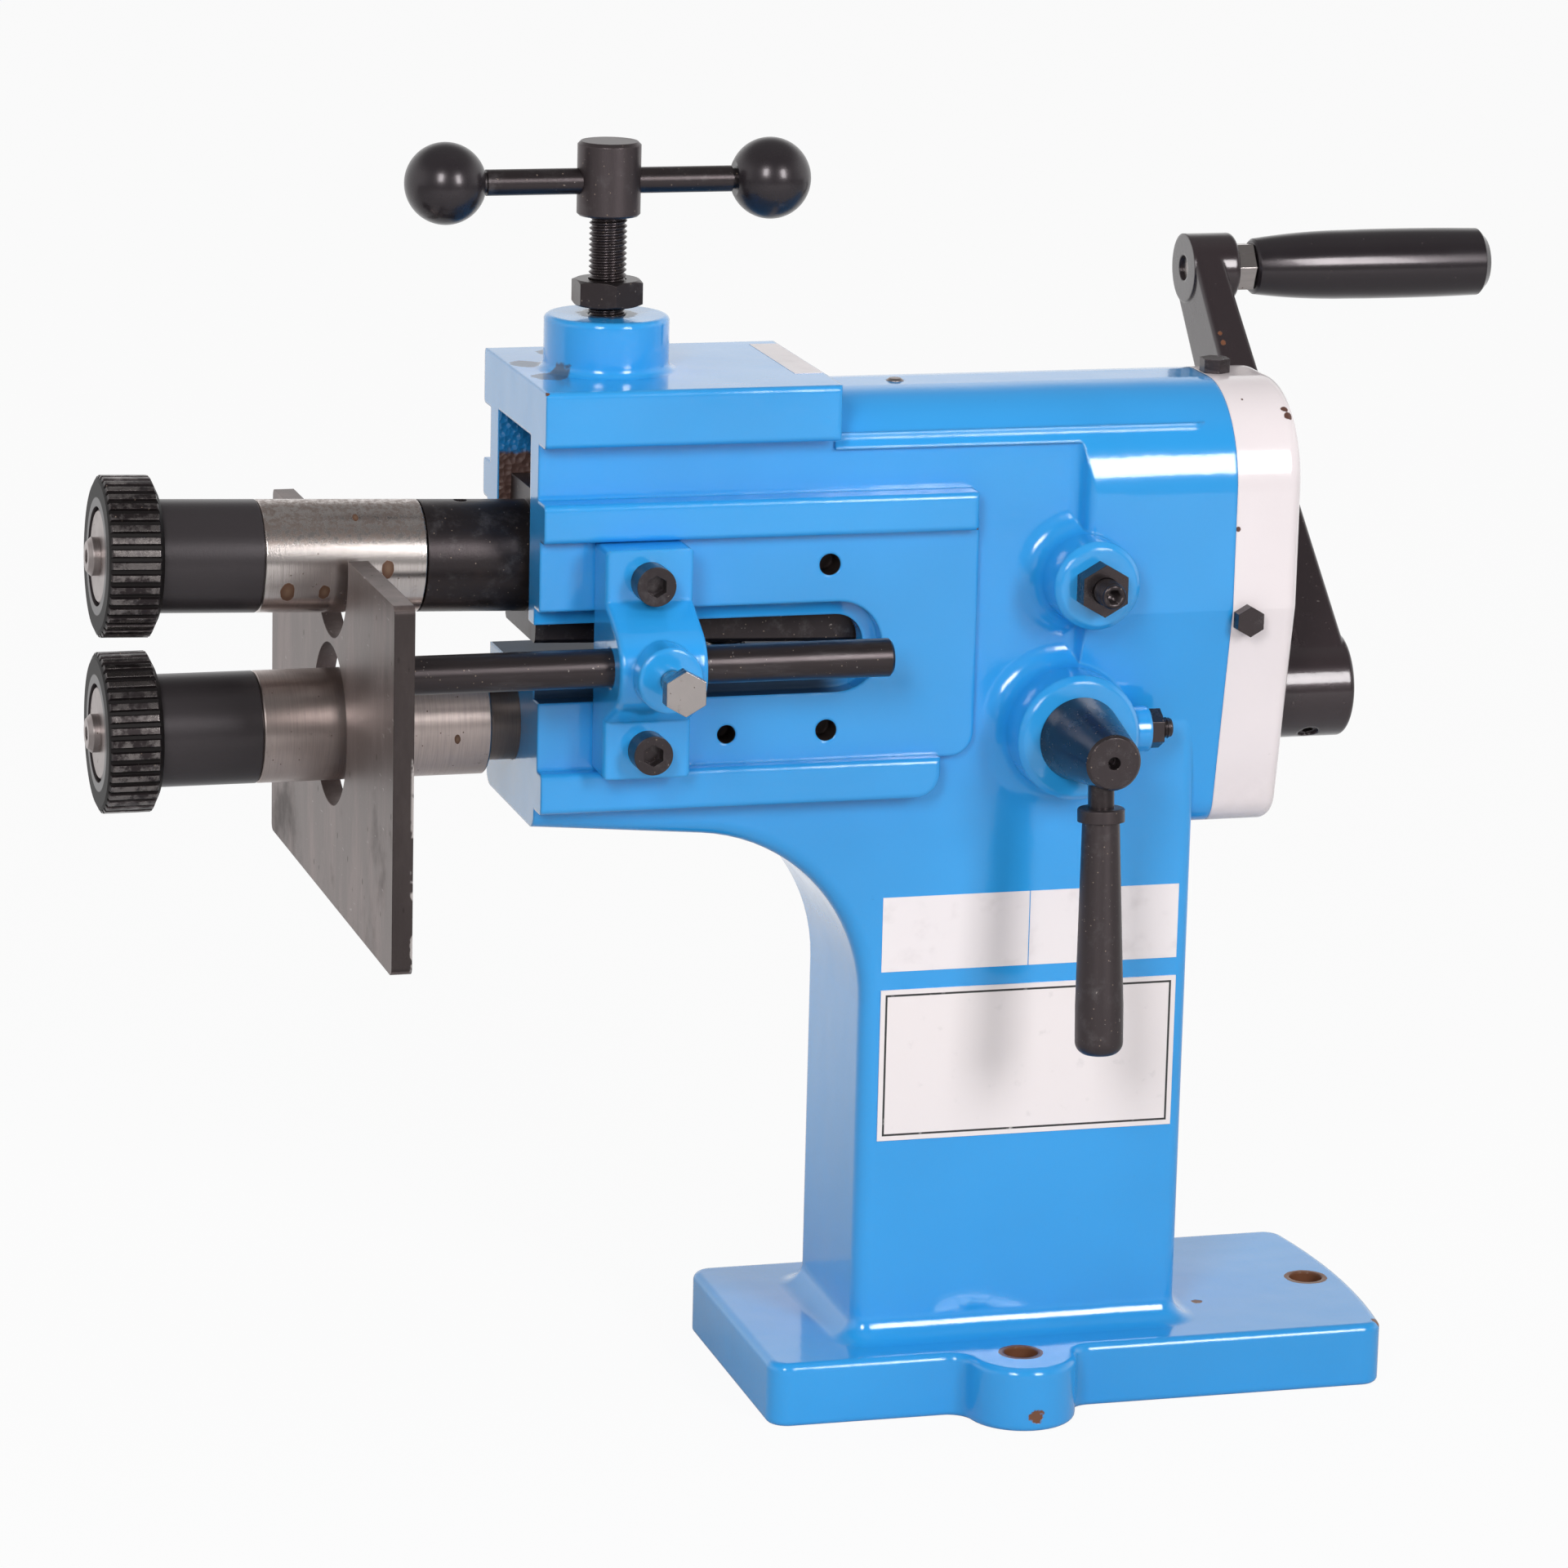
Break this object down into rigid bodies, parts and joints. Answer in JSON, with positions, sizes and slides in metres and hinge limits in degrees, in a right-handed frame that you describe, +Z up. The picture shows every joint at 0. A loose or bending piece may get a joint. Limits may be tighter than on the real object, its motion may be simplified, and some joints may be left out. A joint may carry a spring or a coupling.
{
  "type": "hand-cranked bead roller",
  "caption": "Hand-cranked bench bead roller: cast column and head, geared roll shafts with knurled rolls, screw-clamped upper arm, side-shift lever and sheet guide plate.",
  "frame": {"origin": "centre of the foot, on its underside", "axes": "+X along the roll shafts from the rolls to the crank, +Y away from the operator's side, +Z up"},
  "size_m": [0.5744, 0.2317, 0.475],
  "materials": {
    "blue_enamel": "gloss",
    "white_enamel": "gloss",
    "black_enamel": "gloss",
    "black_oxide_steel": "black oxide, satin",
    "bright_steel": "ground",
    "zinc_steel": "zinc plated",
    "nickel_sleeve": "nickel plated, light rust",
    "raw_plate": "mill finish",
    "bronze": "sintered bronze",
    "gear_steel": "cut teeth, oiled",
    "black_plastic": "gloss",
    "plate_foil": "satin",
    "paper_label": "matt",
    "spring_steel": "oiled"
  },
  "bodies": {
    "frame": {"frame_casting": "blue_enamel", "gear_cover": "white_enamel", "cover_bolts": "black_oxide_steel", "oil_plug": "bright_steel", "name_plate": "plate_foil", "blank_labels": "paper_label", "front_pivot_screw": "black_oxide_steel", "back_pivot_screw": "black_oxide_steel", "front_pivot_nut": "black_oxide_steel", "back_pivot_nut": "black_oxide_steel", "guide_bracket": "blue_enamel", "bracket_screws": "black_oxide_steel", "shifter_lock_nut": "black_oxide_steel", "arm_lift_spring": "spring_steel"},
    "pad": {"pressure_pad": "bright_steel"},
    "clamp": {"clamp_screw": "black_oxide_steel", "cross_hub": "black_oxide_steel", "cross_bar": "black_oxide_steel", "left_ball_knob": "black_plastic", "right_ball_knob": "black_plastic"},
    "clamp_nut": {"clamp_lock_nut": "black_oxide_steel"},
    "arm": {"upper_arm": "black_oxide_steel", "upper_front_bush": "bronze", "upper_rear_bush": "bronze"},
    "upper_spindle": {"upper_shaft": "bright_steel", "upper_roll": "black_oxide_steel", "upper_roll_washer": "bright_steel", "upper_roll_screw": "black_oxide_steel", "upper_spacer_sleeve": "nickel_sleeve", "upper_roll_key": "bright_steel", "upper_gear": "gear_steel", "upper_gear_key": "bright_steel", "upper_gear_clip": "spring_steel"},
    "quill": {"lower_quill": "bright_steel", "lower_front_bush": "bronze", "lower_rear_bush": "bronze"},
    "lower_spindle": {"lower_shaft": "bright_steel", "lower_roll": "black_oxide_steel", "lower_roll_washer": "bright_steel", "lower_roll_screw": "black_oxide_steel", "lower_spacer_sleeve": "nickel_sleeve", "lower_roll_key": "bright_steel", "lower_gear": "gear_steel", "lower_gear_key": "bright_steel", "lower_gear_clip": "spring_steel", "crank_arm": "black_enamel", "crank_key": "bright_steel", "crank_set_screw": "black_oxide_steel", "grip_spindle": "zinc_steel"},
    "grip": {"crank_grip": "black_plastic"},
    "shifter": {"eccentric_shaft": "black_oxide_steel", "lever_stud": "bright_steel", "lever_handle": "black_oxide_steel"},
    "shifter_lock": {"shifter_lock_screw": "black_oxide_steel"},
    "guide": {"guide_rod": "black_oxide_steel", "guide_plate": "raw_plate"},
    "guide_lock": {"guide_lock_bolt": "zinc_steel"}
  },
  "joints": [
    {"name": "pad_slide", "type": "slide", "parent": "frame", "child": "pad", "axis": [0, 0, 1], "range_m": [-0.0028, 0.0028]},
    {"name": "screw_turn", "type": "hinge", "parent": "pad", "child": "clamp", "pos_m": [-0.1758, 0, 0.42], "axis": [0, 0, 1], "range_deg": [-500, 500]},
    {"name": "lock_nut_turn", "type": "hinge", "parent": "clamp", "child": "clamp_nut", "pos_m": [-0.1758, 0, 0.42], "axis": [0, 0, 1], "range_deg": [-60, 60]},
    {"name": "arm_tilt", "type": "hinge", "parent": "frame", "child": "arm", "pos_m": [-0.0043, 0, 0.3168], "axis": [0, 1, 0], "range_deg": [-0.95, 0.95], "deforming": ["arm_lift_spring"]},
    {"name": "upper_spin", "type": "hinge", "parent": "arm", "child": "upper_spindle", "pos_m": [-0.0043, 0, 0.3168], "axis": [0.9995, 0, -0.03], "continuous": true},
    {"name": "quill_slide", "type": "slide", "parent": "frame", "child": "quill", "axis": [1, 0, 0], "range_m": [-0.0021, 0.0021]},
    {"name": "crank_spin", "type": "hinge", "parent": "quill", "child": "lower_spindle", "pos_m": [0, 0, 0.2624], "axis": [1, 0, 0], "continuous": true},
    {"name": "grip_spin", "type": "hinge", "parent": "lower_spindle", "child": "grip", "pos_m": [0.15, 0.10433, 0.406], "axis": [1, 0, 0], "continuous": true},
    {"name": "eccentric_turn", "type": "hinge", "parent": "frame", "child": "shifter", "pos_m": [-0.0094, 0, 0.2599], "axis": [0, 1, 0], "range_deg": [-30, 30]},
    {"name": "eccentric_lock_turn", "type": "hinge", "parent": "frame", "child": "shifter_lock", "pos_m": [0.01, -0.05, 0.2599], "axis": [1, 0, 0], "range_deg": [0, 180]},
    {"name": "guide_slide", "type": "slide", "parent": "frame", "child": "guide", "axis": [1, 0, 0], "range_m": [-0.053, 0.053]},
    {"name": "guide_lock_turn", "type": "hinge", "parent": "frame", "child": "guide_lock", "pos_m": [-0.1735, -0.09, 0.295], "axis": [0, 1, 0], "range_deg": [-180, 0]}
  ],
  "couplings": [
    {"joint": "pad_slide", "follows": "screw_turn", "m_per_rad": 0.00031831},
    {"joint": "arm_tilt", "follows": "screw_turn", "ratio": 0.001856},
    {"joint": "upper_spin", "follows": "crank_spin", "ratio": -1},
    {"joint": "quill_slide", "follows": "eccentric_turn", "m_per_rad": 0.004}
  ]
}
